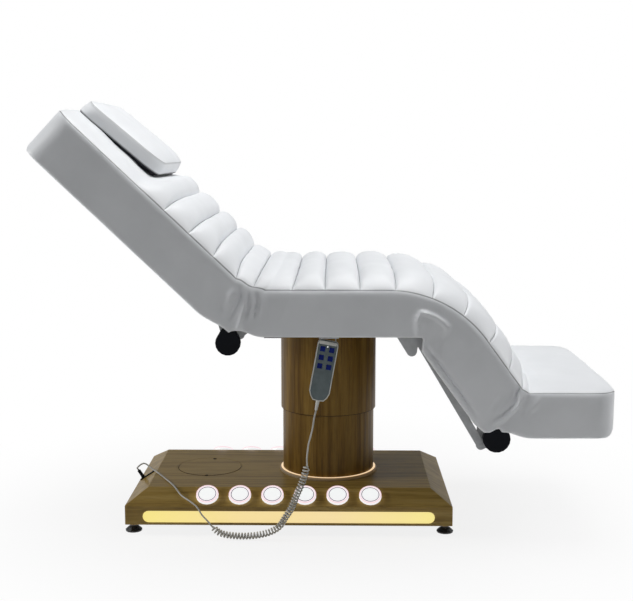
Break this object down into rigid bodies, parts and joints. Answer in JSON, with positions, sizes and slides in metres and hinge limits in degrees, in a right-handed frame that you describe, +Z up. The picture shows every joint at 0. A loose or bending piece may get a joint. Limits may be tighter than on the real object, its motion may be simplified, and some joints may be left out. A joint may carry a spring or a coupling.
{
  "type": "electric treatment bed",
  "caption": "Padded treatment couch with raised back and folding leg rest on a lifting column, a lit wooden plinth, a wired handset and an actuated steel frame.",
  "frame": {"origin": "on the floor, below the middle of the whole bed at its pictured pose, which is also the axis of the lifting column", "axes": "+X towards the foot end, +Y to the side away from the handset, +Z up"},
  "size_m": [1.5237, 0.7, 1.1761],
  "materials": {
    "oak_veneer": "satin grained veneer",
    "grey_steel": "grey powder coat",
    "bright_steel": "bright steel",
    "black_plastic": "fine matte",
    "black_rubber": "matte",
    "board": "raw board",
    "warm_light": "lit translucent",
    "white_light": "lit translucent",
    "rose_gold": "rose gold coloured",
    "white_leatherette": "smooth upholstery",
    "handset_grey": "fine matte",
    "key_blue": "matte",
    "cord_grey": "smooth"
  },
  "bodies": {
    "base": {"plinth_shell": "oak_veneer", "base_plate": "grey_steel", "levelling_foot_head_front": "black_rubber", "levelling_foot_head_rear": "black_rubber", "levelling_foot_foot_front": "black_rubber", "levelling_foot_foot_rear": "black_rubber", "front_light_panel": "warm_light", "rear_light_panel": "warm_light", "front_lamp_row": "white_light", "rear_lamp_row": "white_light", "column_ring": "rose_gold", "lower_sleeve": "oak_veneer", "lift_outer_tube": "grey_steel", "control_box": "grey_steel", "handset_socket": "black_plastic", "mains_inlet": "black_plastic", "cord_curls": "cord_grey", "cord_tail": "cord_grey", "cord_plug": "black_plastic"},
    "service_cover": {"service_cover": "oak_veneer"},
    "carriage": {"upper_sleeve": "oak_veneer", "lift_inner_tube": "grey_steel", "top_plate": "grey_steel", "seat_frame": "grey_steel", "seat_board": "board", "seat_cushion": "white_leatherette", "knee_roll": "white_leatherette", "back_crease": "white_leatherette", "link_bracket_front": "grey_steel", "link_bracket_rear": "grey_steel", "back_hinge_cover_front": "black_plastic", "back_hinge_cover_rear": "black_plastic", "handset_hook": "bright_steel", "handset_front": "handset_grey", "handset_back": "handset_grey", "back_actuator_body": "black_plastic", "leg_actuator_body": "black_plastic", "cord_lead": "cord_grey"},
    "backrest": {"backrest_frame": "grey_steel", "backrest_board": "board", "backrest_cushion": "white_leatherette"},
    "pillow": {"pillow": "white_leatherette"},
    "leg_section": {"leg_frame": "grey_steel", "leg_cushion": "white_leatherette", "foot_crease": "white_leatherette"},
    "foot_section": {"foot_frame": "grey_steel", "foot_cushion": "white_leatherette", "foot_knuckle_cover_front": "black_plastic", "foot_knuckle_cover_rear": "black_plastic"},
    "link_front": {"link_bar_front": "grey_steel"},
    "link_rear": {"link_bar_rear": "grey_steel"},
    "back_rod": {"back_actuator_rod": "bright_steel"},
    "leg_rod": {"leg_actuator_rod": "bright_steel"},
    "key_1": {"handset_key_1": "key_blue"},
    "key_2": {"handset_key_2": "key_blue"},
    "key_3": {"handset_key_3": "key_blue"},
    "key_4": {"handset_key_4": "key_blue"},
    "key_5": {"handset_key_5": "key_blue"},
    "key_6": {"handset_key_6": "key_blue"}
  },
  "joints": [
    {"name": "column_lift", "type": "slide", "parent": "base", "child": "carriage", "axis": [0, 0, 1], "range_m": [-0.14, 0.1], "deforming": ["cord_curls"]},
    {"name": "service_cover_lift", "type": "slide", "parent": "base", "child": "service_cover", "axis": [0, 0, 1], "range_m": [0, 0.05]},
    {"name": "back_recline", "type": "hinge", "parent": "carriage", "child": "backrest", "pos_m": [-0.264, 0, 0.548], "axis": [0, 1, 0], "range_deg": [-43.6, 26.4], "deforming": ["back_crease"]},
    {"name": "pillow_lift", "type": "slide", "parent": "backrest", "child": "pillow", "axis": [0.6896, 0, 0.7242], "range_m": [0, 0.12]},
    {"name": "leg_fold", "type": "hinge", "parent": "carriage", "child": "leg_section", "pos_m": [0.2688, 0, 0.594], "axis": [0, 1, 0], "range_deg": [-54, 8], "deforming": ["knee_roll"]},
    {"name": "foot_fold", "type": "hinge", "parent": "leg_section", "child": "foot_section", "pos_m": [0.448, 0, 0.29257], "axis": [0, 1, 0], "range_deg": [-8, 54], "deforming": ["foot_crease"]},
    {"name": "link_front_pivot", "type": "hinge", "parent": "carriage", "child": "link_front", "pos_m": [0.2301, -0.3008, 0.571], "axis": [0, 1, 0], "range_deg": [-54, 8]},
    {"name": "link_rear_pivot", "type": "hinge", "parent": "carriage", "child": "link_rear", "pos_m": [0.2301, 0.3008, 0.571], "axis": [0, 1, 0], "range_deg": [-54, 8]},
    {"name": "back_rod_slide", "type": "slide", "parent": "carriage", "child": "back_rod", "axis": [1, 0, 0], "range_m": [-0.0257, 0.0424]},
    {"name": "leg_rod_slide", "type": "slide", "parent": "carriage", "child": "leg_rod", "axis": [1, 0, 0], "range_m": [-0.0137, 0.0918]},
    {"name": "key_1_press", "type": "slide", "parent": "carriage", "child": "key_1", "axis": [0, 1, 0], "range_m": [0, 0.0012], "stiffness_N_per_m": 300, "springref_m": -0.001},
    {"name": "key_2_press", "type": "slide", "parent": "carriage", "child": "key_2", "axis": [0, 1, 0], "range_m": [0, 0.0012], "stiffness_N_per_m": 300, "springref_m": -0.001},
    {"name": "key_3_press", "type": "slide", "parent": "carriage", "child": "key_3", "axis": [0, 1, 0], "range_m": [0, 0.0012], "stiffness_N_per_m": 300, "springref_m": -0.001},
    {"name": "key_4_press", "type": "slide", "parent": "carriage", "child": "key_4", "axis": [0, 1, 0], "range_m": [0, 0.0012], "stiffness_N_per_m": 300, "springref_m": -0.001},
    {"name": "key_5_press", "type": "slide", "parent": "carriage", "child": "key_5", "axis": [0, 1, 0], "range_m": [0, 0.0012], "stiffness_N_per_m": 300, "springref_m": -0.001},
    {"name": "key_6_press", "type": "slide", "parent": "carriage", "child": "key_6", "axis": [0, 1, 0], "range_m": [0, 0.0012], "stiffness_N_per_m": 300, "springref_m": -0.001}
  ],
  "couplings": [
    {"joint": "foot_fold", "follows": "leg_fold", "ratio": -1},
    {"joint": "link_front_pivot", "follows": "leg_fold", "ratio": 1},
    {"joint": "link_rear_pivot", "follows": "leg_fold", "ratio": 1},
    {"joint": "leg_rod_slide", "follows": "leg_fold", "m_per_rad": -0.0972},
    {"joint": "back_rod_slide", "follows": "back_recline", "m_per_rad": -0.0555}
  ]
}
